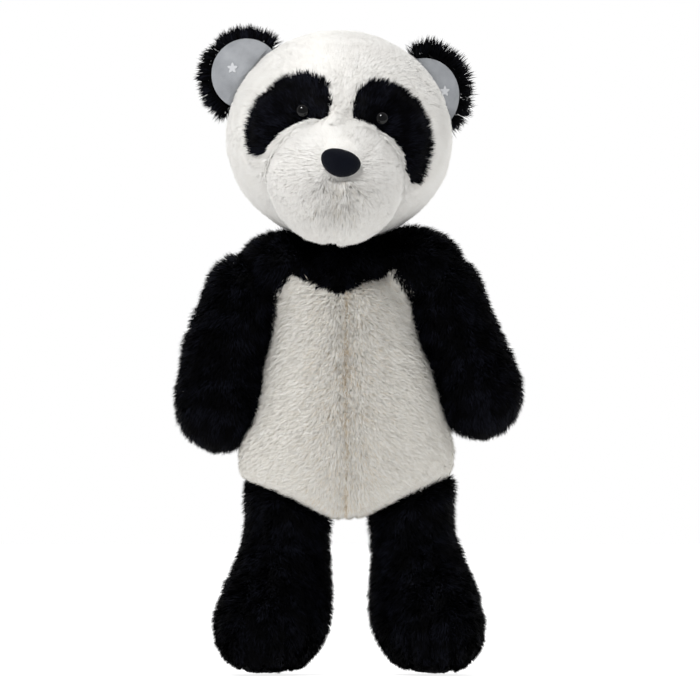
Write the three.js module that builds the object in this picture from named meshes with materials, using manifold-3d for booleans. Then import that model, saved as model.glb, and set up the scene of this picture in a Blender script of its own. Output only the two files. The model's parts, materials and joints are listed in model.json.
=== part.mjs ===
// Plush panda, 380 mm tall, standing on its soles. Millimetres, +Z up, the face towards -Y.
// Left and right are the toy's own: its left side is at +X.
// Every cover panel is a thin fabric shell, and every stuffing is the fill inside it.
import * as THREE from "three";
import { mergeVertices } from "three/addons/utils/BufferGeometryUtils.js";
import Module from "manifold-3d";

// ---------- driving dimensions ----------
const FABRIC = 2.4; // backing and pressed pile of one cover panel
const SEAM = 0.4; // gap left between two panels that are sewn edge to edge
const FILL_GAP = 0.4; // gap between a cover and its fill
const FAR = 400; // reaches past the whole toy

const HEAD = { x: -4, y: -4, z: 312, wide: 64.5, deep: 56, tall: 61.5, roll: 5.5 };
const MUZZLE = { x: 1.2, y: -40, z: -23.5, wide: 38.5, deep: 33, tall: 36.5 };
const MUZZLE_SEAM_Z = -24; // height of the seam between the muzzle's top and its two sides
const NOSE = { x: 2.2, y: -72.5, z: -15.4, wide: 11.5, deep: 6.5, tall: 8, tilt: 10 };
const EYE = { x: 23, z: 13, radius: 3.4, proud: 1.6, shank: 1.3, shankLength: 13 };
const WASHER = { radius: 7, thick: 1.2, depth: 7.4, bore: 1.6 }; // depth behind the head's surface
const WASHER_ROOM = { radius: 7.5, ahead: 8, behind: 9.2 }; // the hollow the washer sits in
const BACK_SEAM_Y = 12; // the face panels meet the back of the head behind the ears
const FOREHEAD_EDGE = 34; // half the width of the forehead panel where it meets the back

const EAR = { radius: 26.5, thick: 7.5, lining: 20.5, liningDepth: 1.2 };
const EAR_AT = { right: { x: -57.5, y: 4, z: 30.5, yaw: -12 }, left: { x: 47.5, y: 13, z: 32, yaw: 24 } };
const EAR_CLEAR = 3; // room between the ear's base and the head for folding

const NECK = { x: -3, z: 222, fill: 25.2, ball: 27.6, seamIn: 28, seamOut: 29.4, headClear: 30.4,
  collarTop: 242 };
const NECK_OPENING_Z = 234; // the torso cover ends here
const NECK_STEM = { radius: 12, depth: 16 };

const HIP_SLOPE = 23.5; // degrees, the leg seams rise towards the outside
const CROTCH_Z = 89.5; // where the two hip planes cross on the middle line
const HIP_DISC = { x: 34.5, radius: 19, thick: 3 };
const TOE_OUT = { right: 20, left: 12 };
const LEG_AT = { right: -1.5, left: 1.5 }; // how far the lower leg stands out from its hip
const FOOT_SPLIT_X = 40;
const SOLE_THICK = 2.4;
const FOOT_SPLIT_Y = 0;

const ARM = { x: 57.4, y: -2, z: 221, top: 21.8, middle: 21.8, hand: 23.8 };
const ARM_LENGTH = { right: 67, left: 61 }; // from the shoulder's centre to the hand's
const ARM_TILT = { right: 12.6, left: 18.4 };
const ARM_BOW = { right: 5, left: 1.5 }; // how far the middle of the arm bends outwards
const SHOULDER_MIDDLE_X = -1.4; // the shoulders' middle line
const ARM_ROOM = 0.8; // between the arm and the side of the torso
const SHOULDER = { radius: 14, thick: 3.6 };

const TAIL = { y: 49, z: 114, radius: 13, long: 16, droop: 25 };
const LABEL = { width: 15, drop: 12, thick: 0.8, x: 40, y: 31, z: 124, turn: 50 };

const YOKE_CORNER = { x: 33, z: 241 }; // the chest yoke's lower corners, by the arms
const YOKE_SAG = { share: 0.5, z: 234 }; // its edge sags towards the middle line
const YOKE_POINT_Z = 225; // and its point on the middle line
const BACK_YOKE_Z = 205;

// ---------- solids ----------
const wasm = await Module();
wasm.setup();

const rad = THREE.MathUtils.degToRad;

// A closed geometry with its shared corners merged and its collapsed triangles dropped.
function welded(geometry) {
  const plain = geometry.clone();
  for (const name of Object.keys(plain.attributes)) {
    if (name !== "position") plain.deleteAttribute(name);
  }
  const merged = mergeVertices(plain, 1e-4);
  const index = merged.index.array;
  const kept = [];
  for (let i = 0; i < index.length; i += 3) {
    const [a, b, c] = [index[i], index[i + 1], index[i + 2]];
    if (a !== b && b !== c && c !== a) kept.push(a, b, c);
  }
  merged.setIndex(kept);
  return merged;
}

function solid(geometry) {
  const merged = welded(geometry);
  return new wasm.Manifold(
    new wasm.Mesh({
      numProp: 3,
      vertProperties: new Float32Array(merged.attributes.position.array),
      triVerts: new Uint32Array(merged.index.array),
    }),
  );
}

function biggest(body) {
  const pieces = body.decompose();
  pieces.sort((a, b) => b.volume() - a.volume());
  return pieces[0];
}

const joined = (...bodies) => bodies.reduce((sum, body) => sum.add(body));

// A box between two corners, turned about +Y and +Z and then moved.
function block(low, high, turnY = 0, turnZ = 0, at = [0, 0, 0]) {
  const size = high.map((value, i) => value - low[i]);
  const box = new THREE.BoxGeometry(...size);
  box.translate(...low.map((value, i) => value + size[i] / 2));
  box.rotateY(rad(turnY));
  box.rotateZ(rad(turnZ));
  box.translate(...at);
  return solid(box);
}

function ellipsoid(shape, grow = 0, across = 22, up = 12) {
  const sphere = new THREE.SphereGeometry(1, across, up);
  sphere.rotateX(Math.PI / 2);
  sphere.scale(shape.wide + grow, shape.deep + grow, shape.tall + grow);
  sphere.rotateY(rad(shape.tilt ?? 0));
  sphere.translate(shape.x, shape.y, shape.z);
  return solid(sphere);
}

function ball(centre, radius, across = 22, up = 14) {
  const sphere = new THREE.SphereGeometry(radius, across, up);
  sphere.rotateX(Math.PI / 2);
  sphere.translate(...centre);
  return solid(sphere);
}

// A cylinder about the line from one point towards a direction.
function rod(from, direction, radius, length, sides = 24) {
  const cylinder = new THREE.CylinderGeometry(radius, radius, length, sides);
  cylinder.translate(0, length / 2, 0);
  const towards = new THREE.Vector3(...direction).normalize();
  const turn = new THREE.Quaternion().setFromUnitVectors(new THREE.Vector3(0, 1, 0), towards);
  cylinder.applyQuaternion(turn);
  cylinder.translate(...from);
  return solid(cylinder);
}

// A front-view outline in X and Z, as the corners of a smooth curve or as they are, moved
// outwards by a gap and drawn through from y = front to y = back.
function prism(outline, front, back, { smooth = true, gap = 0 } = {}) {
  let points = outline.map(([x, z]) => new THREE.Vector2(x, z));
  if (smooth) {
    const corners = points.map((p) => new THREE.Vector3(p.x, p.y, 0));
    const curve = new THREE.CatmullRomCurve3(corners, true, "centripetal");
    points = curve.getPoints(Math.round(outline.length * 1.4)).slice(0, -1);
  }
  const turn = THREE.ShapeUtils.isClockWise(points) ? -1 : 1;
  const moved = points.map((point, i) => {
    const before = points[(i + points.length - 1) % points.length];
    const after = points[(i + 1) % points.length];
    const along = new THREE.Vector2(after.x - before.x, after.y - before.y).normalize();
    return new THREE.Vector2(point.x + turn * gap * along.y, point.y - turn * gap * along.x);
  });
  const shape = new THREE.Shape(moved);
  const body = new THREE.ExtrudeGeometry(shape, { depth: back - front, bevelEnabled: false });
  body.rotateX(Math.PI / 2);
  body.translate(0, back, 0);
  return solid(body);
}

// A stuffed form: oval rings through stations of height z, from the bottom up, with half width
// w, depth f in front of and b behind the centre (x, y), turned by yaw about it. The first and
// last ring are points. The whole surface is then drawn in by a thickness.
function stuffed(stations, sides, rings, thickness = 0) {
  const full = stations.map((s) => ({ x: 0, y: 0, yaw: 0, ...s }));
  const through = (pick) => new THREE.CatmullRomCurve3(full.map(pick));
  const size = through((s) => new THREE.Vector3(s.w, s.f, s.b));
  const place = through((s) => new THREE.Vector3(s.x, s.y, s.z));
  const turn = through((s) => new THREE.Vector3(s.yaw, s.z, 0));
  const profile = [];
  for (let k = 0; k <= rings; k += 1) profile.push(new THREE.Vector2(1, k / rings));
  const form = new THREE.LatheGeometry(profile, sides);
  const at = form.attributes.position;
  for (let i = 0; i < at.count; i += 1) {
    const t = at.getY(i);
    const radii = size.getPoint(t);
    const [across, along] = [at.getX(i), -at.getZ(i)];
    const out = new THREE.Vector3(across * radii.x, along * (along < 0 ? radii.y : radii.z), 0);
    out.applyAxisAngle(new THREE.Vector3(0, 0, 1), rad(turn.getPoint(t).x));
    out.add(place.getPoint(t));
    at.setXYZ(i, out.x, out.y, out.z);
  }
  return solid(drawnIn(form, thickness));
}

function drawnIn(form, thickness) {
  const surface = welded(form);
  surface.computeVertexNormals();
  const at = surface.attributes.position;
  const normal = surface.attributes.normal;
  for (let i = 0; i < at.count; i += 1) {
    at.setX(i, at.getX(i) - normal.getX(i) * thickness);
    at.setY(i, at.getY(i) - normal.getY(i) * thickness);
    at.setZ(i, at.getZ(i) - normal.getZ(i) * thickness);
  }
  return surface;
}

// ---------- materials and nodes ----------
const cloth = (color, roughness = 0.95) =>
  new THREE.MeshStandardMaterial({ color, roughness, metalness: 0 });
const MATERIAL = {
  blackPlush: cloth(0x0c0c10),
  whitePlush: cloth(0xf1efe9),
  bellyPlush: cloth(0xdcd5ca),
  greySatin: cloth(0xa0a5ac, 0.5),
  noseSatin: cloth(0x10121c, 0.45),
  blackPlastic: cloth(0x050506, 0.12),
  clearPlastic: cloth(0xd8d8d4, 0.35),
  fibreFill: cloth(0xf4f4f2),
  thread: cloth(0x141416, 0.7),
  label: cloth(0xf2f2f0, 0.6),
};

function node(name, body, material, group) {
  const made = biggest(body).getMesh();
  const geometry = new THREE.BufferGeometry();
  const step = made.numProp;
  const positions = new Float32Array(made.numVert * 3);
  for (let i = 0; i < made.numVert; i += 1) {
    positions.set(made.vertProperties.subarray(i * step, i * step + 3), i * 3);
  }
  geometry.setAttribute("position", new THREE.BufferAttribute(positions, 3));
  geometry.setIndex(new THREE.BufferAttribute(made.triVerts, 1));
  geometry.computeVertexNormals();
  const mesh = new THREE.Mesh(geometry, material);
  mesh.name = name;
  group.add(mesh);
  return mesh;
}

const SIDES = [
  { name: "right", sign: -1 },
  { name: "left", sign: 1 },
];
const above = (z) => block([-FAR, -FAR, z], [FAR, FAR, FAR]);
const below = (z) => block([-FAR, -FAR, -FAR], [FAR, FAR, z]);
const inFront = (y) => block([-FAR, -FAR, -FAR], [FAR, y, FAR]);
const behind = (y) => block([-FAR, y, -FAR], [FAR, FAR, FAR]);
const beside = (sign, x) =>
  sign < 0 ? block([-FAR, -FAR, -FAR], [x, FAR, FAR]) : block([x, -FAR, -FAR], [FAR, FAR, FAR]);

// ---------- head, in its own frame about the head's centre ----------
const headShape = { ...HEAD, x: 0, y: 0, z: 0 };
const headOuter = ellipsoid(headShape);
const headInner = ellipsoid(headShape, -FABRIC);
const headFill = ellipsoid(headShape, -FABRIC - FILL_GAP);
const muzzleOuter = ellipsoid(MUZZLE, 0, 18, 10);
const muzzleInner = ellipsoid(MUZZLE, -FABRIC, 18, 10);
const muzzleFill = ellipsoid(MUZZLE, -FABRIC - FILL_GAP, 18, 10);
const muzzleHole = ellipsoid(MUZZLE, SEAM, 18, 10);

// Eye patch: a bean from the brow, round the outside, to a tip beside the muzzle.
function patchOutline(sign) {
  const tip = sign < 0 ? { x: 43.5, z: -14 } : { x: 44, z: -21 };
  const bean = [
    [6.5, 11],
    [7.5, 21],
    [12.5, 30.5],
    [24, 32],
    [36, 26.5],
    [46, 15],
    [50.5, 3],
    [49.5, -8],
    [tip.x + 1.5, tip.z],
    [tip.x - 3.5, tip.z + 2],
    [36.5, -6],
    [28, 3],
    [17, 8],
  ];
  const points = bean.map(([x, z]) => [sign * x, z]);
  return sign < 0 ? points.reverse() : points;
}

// The neck's ball and seam turn inside this hollow under the head.
const pivotInHead = new THREE.Vector3(NECK.x - HEAD.x, -HEAD.y, NECK.z - HEAD.z).applyAxisAngle(
  new THREE.Vector3(0, 1, 0),
  -rad(HEAD.roll),
);
const neckHollow = ball(pivotInHead.toArray(), NECK.headClear);
const neckHollowFill = ball(pivotInHead.toArray(), NECK.headClear + FILL_GAP);

function eyeSocket(sign) {
  const x = sign * EYE.x + MUZZLE.x * 0.5;
  return { x, y: -surfaceDepth(x, EYE.z) };
}

// Depth of the head's surface in front of its centre at a place in the front view.
function surfaceDepth(x, z) {
  const across = (x / HEAD.wide) ** 2 + (z / HEAD.tall) ** 2;
  return HEAD.deep * Math.sqrt(1 - across);
}

const shankHole = SIDES.map(({ sign }) => {
  const { x, y } = eyeSocket(sign);
  return rod([x, y - WASHER.radius, EYE.z], [0, 1, 0], EYE.shank + SEAM, 3 * WASHER.radius, 8);
});

const headSkin = headOuter
  .subtract(headInner)
  .subtract(muzzleHole)
  .subtract(neckHollow)
  .subtract(joined(...shankHole));
const faceSkin = headSkin.intersect(inFront(BACK_SEAM_Y - SEAM));
const backSkin = headSkin.intersect(behind(BACK_SEAM_Y));
const patchPrism = SIDES.map(({ sign }) => prism(patchOutline(sign), -FAR, 0));

// The forehead panel widens from the top of the muzzle to the crown.
function foreheadOutline(edge) {
  return [
    [-2 - edge, 0],
    [-13 - edge, 30],
    [-FOREHEAD_EDGE - edge, 40],
    [-FOREHEAD_EDGE - edge, FAR],
    [FOREHEAD_EDGE + edge, FAR],
    [FOREHEAD_EDGE + edge, 40],
    [13 + edge, 30],
    [2 + edge, 0],
  ].reverse();
}
const foreheadPrism = prism(foreheadOutline(0), -FAR, FAR, { smooth: false });
const foreheadGap = prism(foreheadOutline(SEAM), -FAR, FAR, { smooth: false });

const head = new THREE.Group();
head.position.set(HEAD.x, HEAD.y, HEAD.z);
head.rotation.y = rad(HEAD.roll);

const patchGaps = joined(
  ...SIDES.map(({ sign }) => prism(patchOutline(sign), -FAR, 0, { gap: SEAM })),
);
node(
  "forehead_panel",
  faceSkin.intersect(foreheadPrism).subtract(patchGaps),
  MATERIAL.whitePlush,
  head,
);
SIDES.forEach(({ name, sign }, i) => {
  const half = beside(sign, sign * SEAM * 0.5);
  const cheek = faceSkin.intersect(half).subtract(foreheadGap).subtract(patchGaps);
  node(`cheek_panel_${name}`, cheek, MATERIAL.whitePlush, head);
  node(`eye_patch_${name}`, faceSkin.intersect(patchPrism[i]), MATERIAL.blackPlush, head);
  node(`head_back_${name}`, backSkin.intersect(half), MATERIAL.whitePlush, head);
});

const noseGap = ellipsoid(NOSE, SEAM, 16, 8);
const muzzleSkin = muzzleOuter
  .subtract(muzzleInner)
  .subtract(ellipsoid(headShape, SEAM))
  .subtract(noseGap)
  .subtract(neckHollow);
node(
  "muzzle_top_panel",
  muzzleSkin.intersect(above(MUZZLE_SEAM_Z + SEAM)),
  MATERIAL.whitePlush,
  head,
);
for (const { name, sign } of SIDES) {
  const half = beside(sign, MUZZLE.x + sign * SEAM * 0.5);
  const side = muzzleSkin.intersect(below(MUZZLE_SEAM_Z)).intersect(half);
  node(`muzzle_side_${name}`, side, MATERIAL.whitePlush, head);
}
node("nose", ellipsoid(NOSE, 0, 16, 8), MATERIAL.noseSatin, head);
node(
  "muzzle_stuffing",
  muzzleFill.subtract(ellipsoid(headShape, SEAM)).subtract(noseGap).subtract(neckHollow),
  MATERIAL.fibreFill,
  head,
);

// Safety eyes: a domed head in front of the patch, a shank through it and a washer behind it.
const washerRoom = [];
for (const { name, sign } of SIDES) {
  const { x, y } = eyeSocket(sign);
  const backwards = [0, 1, 0];
  const domeBack = y - EYE.proud + SEAM;
  const dome = ball([x, y - EYE.proud, EYE.z], EYE.radius, 12, 8).intersect(inFront(domeBack));
  const clear = dome.subtract(ellipsoid(headShape, SEAM)).subtract(muzzleHole);
  const shank = rod([x, y - EYE.radius, EYE.z], backwards, EYE.shank, EYE.shankLength, 8);
  node(`eye_${name}`, clear.add(shank), MATERIAL.blackPlastic, head);
  const washerY = y + WASHER.depth;
  const disc = rod([x, washerY, EYE.z], backwards, WASHER.radius, WASHER.thick, 14);
  const bore = rod([x, washerY - 2, EYE.z], backwards, WASHER.bore, 4 + WASHER.thick, 8);
  node(`eye_washer_${name}`, disc.subtract(bore), MATERIAL.clearPlastic, head);
  const depth = WASHER_ROOM.ahead + WASHER_ROOM.behind;
  const roomStart = [x, y - WASHER_ROOM.ahead, EYE.z];
  washerRoom.push(rod(roomStart, backwards, WASHER_ROOM.radius, depth, 14));
  washerRoom.push(rod([x, y, EYE.z], backwards, EYE.shank + SEAM, EYE.shankLength + 3, 8));
}
node(
  "head_stuffing",
  headFill.subtract(joined(...washerRoom)).subtract(neckHollowFill),
  MATERIAL.fibreFill,
  head,
);

// Ears: a round two-layer disc that leans outwards, its base hollowed to clear the head.
const headClear = ellipsoid(headShape, EAR_CLEAR);
for (const { name } of SIDES) {
  const at = EAR_AT[name];
  const place = (geometry) => {
    geometry.rotateZ(rad(at.yaw));
    geometry.translate(at.x, at.y, at.z);
    return solid(geometry);
  };
  const cushion = (radius, thick) => {
    const disc = new THREE.SphereGeometry(1, 18, 8);
    disc.rotateX(Math.PI / 2);
    disc.scale(radius, thick, radius);
    return disc;
  };
  const front = (radius, depth) => {
    const slab = new THREE.CylinderGeometry(radius, radius, depth, 20);
    slab.translate(0, depth / 2, 0);
    slab.rotateX(Math.PI);
    slab.translate(0, -EAR.liningDepth, 0);
    return slab;
  };
  const ear = place(cushion(EAR.radius, EAR.thick)).subtract(headClear);
  const lining = ear.intersect(place(front(EAR.lining, 20)));
  const liningRoom = place(front(EAR.lining + SEAM, 20).translate(0, SEAM, 0));
  node(`ear_lining_${name}`, lining, MATERIAL.greySatin, head);
  node(`ear_back_${name}`, ear.subtract(liningRoom), MATERIAL.blackPlush, head);
}

// ---------- torso ----------
const TORSO = [
  { z: 252, w: 0, f: 0, b: 0, x: -4 },
  { z: 249, w: 15, f: 14, b: 14, x: -4 },
  { z: 242, w: 26, f: 24, b: 24, x: -4 },
  { z: 228, w: 33, f: 32, b: 31, x: -3 },
  { z: 210, w: 38, f: 37, b: 35, x: -1 },
  { z: 190, w: 43, f: 41, b: 39, x: 0 },
  { z: 170, w: 47.5, f: 44, b: 42, x: 2 },
  { z: 152, w: 51, f: 46, b: 44, x: 2 },
  { z: 139, w: 55.5, f: 47, b: 45, x: 0 },
  { z: 126, w: 61, f: 46, b: 45, x: -1.5 },
  { z: 112, w: 60, f: 43, b: 42, x: -1 },
  { z: 98, w: 54, f: 37, b: 37, x: 0 },
  { z: 88, w: 36, f: 26, b: 27, x: 0 },
  { z: 82, w: 0, f: 0, b: 0, x: 0 },
].reverse();

// Everything above one hip's plane, dropped along its normal by a distance.
const aboveHip = (sign, drop) =>
  block([-FAR, -FAR, -drop], [FAR, FAR, FAR], -sign * HIP_SLOPE, 0, [0, 0, CROTCH_Z]);

// The side of a torso cut flat at one shoulder: everything inside the shoulder's plane.
function armFrame({ name, sign }) {
  const tilt = rad(ARM_TILT[name]);
  const pivot = new THREE.Vector3(SHOULDER_MIDDLE_X + sign * ARM.x, ARM.y, ARM.z);
  const inward = new THREE.Vector3(-sign * Math.cos(tilt), 0, -Math.sin(tilt));
  return { pivot, inward };
}
function insideShoulder(side, gap) {
  const { pivot, inward } = armFrame(side);
  const from = pivot.clone().addScaledVector(inward, ARM.top + ARM_ROOM + gap);
  const half = block([0, -FAR, -FAR], [2 * FAR, FAR, FAR]);
  const turned = side.sign < 0 ? ARM_TILT[side.name] : 180 - ARM_TILT[side.name];
  const matrix = new THREE.Matrix4().makeRotationY(rad(turned)).setPosition(from);
  return half.transform(matrix.elements);
}

// The hollow in the torso's side that the shoulder's filling sits in.
function shoulderPocket(side, gap) {
  const { pivot, inward } = armFrame(side);
  const depth = ARM.top + SHOULDER.thick + 2 * SEAM + gap;
  return rod(pivot.toArray(), inward.toArray(), SHOULDER.radius + SEAM + gap, depth, 20);
}

function trimmedTorso(shrink, drop) {
  let body = stuffed(TORSO, 22, 14, shrink);
  for (const side of SIDES) {
    body = body.intersect(aboveHip(side.sign, -drop)).intersect(insideShoulder(side, drop));
    body = body.subtract(shoulderPocket(side, drop));
  }
  return body;
}
const torsoOuter = trimmedTorso(0, 0);
const torsoInner = trimmedTorso(FABRIC, FABRIC);
const torsoFill = trimmedTorso(FABRIC + FILL_GAP, FABRIC + FILL_GAP);
const torsoSkin = torsoOuter.subtract(torsoInner).intersect(below(NECK_OPENING_Z));

const yokeOutline = (grow) =>
  [
    [-FAR, YOKE_CORNER.z - grow],
    [NECK.x - YOKE_CORNER.x, YOKE_CORNER.z - grow],
    [NECK.x - YOKE_CORNER.x * YOKE_SAG.share, YOKE_SAG.z - grow],
    [NECK.x, YOKE_POINT_Z - grow],
    [NECK.x + YOKE_CORNER.x * YOKE_SAG.share, YOKE_SAG.z - grow],
    [NECK.x + YOKE_CORNER.x, YOKE_CORNER.z - grow],
    [FAR, YOKE_CORNER.z - grow],
    [FAR, FAR],
    [-FAR, FAR],
  ].reverse();
const yoke = prism(yokeOutline(0), -FAR, FAR, { smooth: false });
const yokeGap = prism(yokeOutline(SEAM), -FAR, FAR, { smooth: false });

const toy = new THREE.Group();
const frontSkin = torsoSkin.intersect(inFront(-SEAM * 0.5));
const rearSkin = torsoSkin.intersect(behind(SEAM * 0.5));
node("chest_yoke", frontSkin.intersect(yoke), MATERIAL.blackPlush, toy);
node("back_yoke", rearSkin.intersect(above(BACK_YOKE_Z)), MATERIAL.blackPlush, toy);

const tailGeometry = new THREE.SphereGeometry(TAIL.radius, 14, 8);
tailGeometry.scale(1, TAIL.long / TAIL.radius, 0.9);
tailGeometry.rotateX(-rad(TAIL.droop));
tailGeometry.translate(0, TAIL.y, TAIL.z);
const tailRoom = stuffed(TORSO, 22, 14, -SEAM);
const tail = solid(tailGeometry).subtract(tailRoom);

for (const { name, sign } of SIDES) {
  const half = beside(sign, sign * SEAM * 0.5);
  const belly = frontSkin.subtract(yokeGap).intersect(half);
  node(`belly_panel_${name}`, belly, MATERIAL.bellyPlush, toy);
  const lower = rearSkin.intersect(below(BACK_YOKE_Z - SEAM)).intersect(half);
  node(`back_panel_${name}`, lower, MATERIAL.bellyPlush, toy);
}
node("tail", tail, MATERIAL.bellyPlush, toy);

const stemHole = rod(
  [NECK.x, 0, NECK_OPENING_Z - NECK_STEM.depth - 1],
  [0, 0, 1],
  NECK_STEM.radius + FILL_GAP,
  60,
);
node(
  "torso_stuffing",
  torsoFill.intersect(below(NECK_OPENING_Z)).subtract(stemHole),
  MATERIAL.fibreFill,
  toy,
);

// A blank care label sewn into the left of the back, standing out from the cover.
const labelBox = new THREE.BoxGeometry(LABEL.width, LABEL.thick, LABEL.drop);
labelBox.translate(LABEL.width / 2, 0, 0);
labelBox.rotateZ(rad(LABEL.turn));
labelBox.translate(LABEL.x, LABEL.y, LABEL.z);
const label = solid(labelBox).subtract(tailRoom);
node("care_label", label, MATERIAL.label, toy);

// ---------- neck ----------
const neckCentre = [NECK.x, 0, NECK.z];
const neckUpper = above(NECK_OPENING_Z + FILL_GAP);
const neckBall = ball(neckCentre, NECK.ball).intersect(neckUpper);
const collar = neckBall
  .subtract(ball(neckCentre, NECK.fill + FILL_GAP))
  .intersect(below(NECK.collarTop));
node("neck_cover", collar, MATERIAL.blackPlush, toy);
const neckFill = ball(neckCentre, NECK.fill)
  .intersect(neckUpper)
  .add(neckBall.intersect(above(NECK.collarTop + FILL_GAP)));
const stemLength = NECK_STEM.depth + 6;
const neckStem = rod(
  [NECK.x, 0, NECK_OPENING_Z - NECK_STEM.depth],
  [0, 0, 1],
  NECK_STEM.radius,
  stemLength,
);
node("neck_stuffing", neckFill.add(neckStem), MATERIAL.fibreFill, toy);

// The closing seam: a band of thread round the ball, turned from its section.
const [bandTop, bandBottom] = [28, 42]; // degrees from straight up
const bandSection = [
  [NECK.seamIn, bandBottom],
  [NECK.seamOut, bandBottom],
  [NECK.seamOut, (bandTop + bandBottom) / 2],
  [NECK.seamOut, bandTop],
  [NECK.seamIn, bandTop],
  [NECK.seamIn, (bandTop + bandBottom) / 2],
  [NECK.seamIn, bandBottom],
].map(([radius, angle]) => {
  return new THREE.Vector2(radius * Math.sin(rad(angle)), radius * Math.cos(rad(angle)));
});
const bandGeometry = new THREE.LatheGeometry(bandSection, 24);
bandGeometry.rotateX(Math.PI / 2);
bandGeometry.translate(...neckCentre);
node("neck_seam", solid(bandGeometry), MATERIAL.thread, toy);

// ---------- arms ----------
// Along the arm's own axis from the centre of its rounded top, before it is tilted. Its inner
// side stays on one flat plane, which the arm swings along.
function armStations({ name, sign }) {
  const length = ARM_LENGTH[name];
  const ring = (along, radius, bow = 0) => {
    const x = sign * (radius - ARM.top + bow);
    return { z: -along, w: radius, f: radius, b: radius, x };
  };
  const cap = (angle, radius, along) => {
    const size = radius * Math.cos(rad(angle));
    return { ...ring(along, radius), w: size, f: size, b: size };
  };
  const angles = [15, 40, 65];
  const top = angles.map((angle) => cap(angle, ARM.top, -ARM.top * Math.sin(rad(angle))));
  const hand = angles.map((angle) => {
    return cap(angle, ARM.hand, length + ARM.hand * Math.sin(rad(angle)));
  });
  return [
    { ...cap(90, ARM.top, -ARM.top), w: 0, f: 0, b: 0 },
    ...top.reverse(),
    ring(6, ARM.top - 0.2),
    ring(34, ARM.middle, ARM_BOW[name]),
    ring(length - 6, ARM.hand),
    ...hand,
    { ...cap(90, ARM.hand, length + ARM.hand), w: 0, f: 0, b: 0 },
  ].reverse();
}

for (const side of SIDES) {
  const { name, sign } = side;
  const { pivot, inward } = armFrame(side);
  const arm = new THREE.Group();
  arm.position.copy(pivot);
  arm.rotation.y = -sign * rad(ARM_TILT[name]);
  const stations = armStations(side);
  const skin = stuffed(stations, 16, 12).subtract(stuffed(stations, 16, 12, FABRIC));
  node(`arm_front_${name}`, skin.intersect(inFront(-SEAM * 0.5)), MATERIAL.blackPlush, arm);
  node(`arm_back_${name}`, skin.intersect(behind(SEAM * 0.5)), MATERIAL.blackPlush, arm);
  const fill = stuffed(stations, 16, 12, FABRIC + FILL_GAP);
  node(`arm_stuffing_${name}`, fill, MATERIAL.fibreFill, arm);
  toy.add(arm);

  const plugStart = pivot.clone().addScaledVector(inward, ARM.top + SEAM);
  const plug = rod(plugStart.toArray(), inward.toArray(), SHOULDER.radius, SHOULDER.thick, 20);
  node(`shoulder_stuffing_${name}`, plug, MATERIAL.fibreFill, toy);
}

// ---------- legs ----------
function legStations({ name, sign }) {
  const out = sign * TOE_OUT[name];
  const station = (z, along, w, f, b, turned = 1) => {
    const x = sign * (along + LEG_AT[name] * (z < 75 ? 1 : 0.5));
    return { z, x, w, f, b, yaw: out * turned };
  };
  return [
    station(-7, 47, 0, 0, 0),
    station(-5, 47, 9, 22, 10),
    station(0, 47, 16, 34, 17),
    station(6, 46.5, 22, 42, 22),
    station(16, 46, 28, 48, 27),
    station(32, 44, 31, 48, 28),
    station(48, 42, 29.5, 41, 27.5, 0.9),
    station(64, 39.5, 25.5, 32, 26.5, 0.6),
    station(80, 37, 22.5, 27, 26, 0.3),
    station(98, 35, 23.5, 28.5, 28.5, 0),
    station(116, 34.5, 25.5, 30, 30, 0),
    station(134, 34, 22, 25, 25, 0),
    station(142, 34, 0, 0, 0, 0),
  ];
}

const hipNormal = (sign) =>
  new THREE.Vector3(sign * Math.sin(rad(HIP_SLOPE)), 0, -Math.cos(rad(HIP_SLOPE)));

for (const side of SIDES) {
  const { name, sign } = side;
  const stations = legStations(side);
  const drop = HIP_DISC.thick + 2 * SEAM;
  const underHip = (extra) =>
    block([-FAR, -FAR, -FAR], [FAR, FAR, -drop - extra], -sign * HIP_SLOPE, 0, [0, 0, CROTCH_Z]);
  const outer = stuffed(stations, 16, 12).intersect(underHip(0)).intersect(above(0));
  const inner = stuffed(stations, 16, 12, FABRIC).intersect(above(SOLE_THICK + SEAM));
  const skin = outer.subtract(inner).intersect(above(SOLE_THICK + SEAM));
  const turn = sign * TOE_OUT[name];
  const splitAt = [sign * FOOT_SPLIT_X, FOOT_SPLIT_Y, 0];
  const outside = (gap) =>
    sign < 0
      ? block([-FAR, -FAR, -FAR], [-gap, FAR, FAR], 0, turn, splitAt)
      : block([gap, -FAR, -FAR], [FAR, FAR, FAR], 0, turn, splitAt);
  const insideOf = (gap) =>
    sign < 0
      ? block([gap, -FAR, -FAR], [FAR, FAR, FAR], 0, turn, splitAt)
      : block([-FAR, -FAR, -FAR], [-gap, FAR, FAR], 0, turn, splitAt);
  node(`leg_outer_${name}`, skin.intersect(outside(SEAM * 0.5)), MATERIAL.blackPlush, toy);
  node(`leg_inner_${name}`, skin.intersect(insideOf(SEAM * 0.5)), MATERIAL.blackPlush, toy);
  node(`sole_${name}`, outer.intersect(below(SOLE_THICK)), MATERIAL.blackPlush, toy);
  const fill = stuffed(stations, 16, 12, FABRIC + FILL_GAP)
    .intersect(underHip(0))
    .intersect(above(SOLE_THICK + SEAM));
  node(`leg_stuffing_${name}`, fill, MATERIAL.fibreFill, toy);

  const normal = hipNormal(sign);
  const rise = (HIP_DISC.x * Math.sin(rad(HIP_SLOPE))) / Math.cos(rad(HIP_SLOPE));
  const centre = new THREE.Vector3(sign * HIP_DISC.x, 0, CROTCH_Z + rise);
  centre.addScaledVector(normal, SEAM);
  node(
    `hip_stuffing_${name}`,
    rod(centre.toArray(), normal.toArray(), HIP_DISC.radius, HIP_DISC.thick, 20),
    MATERIAL.fibreFill,
    toy,
  );
}

toy.add(head);

// The origin is under the middle of the toy's box, on the surface it stands on.
const box = new THREE.Box3().setFromObject(toy);
const middle = box.getCenter(new THREE.Vector3());
toy.position.set(-middle.x, -middle.y, -box.min.z);

const part = new THREE.Group();
part.add(toy);
export default part;
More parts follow.
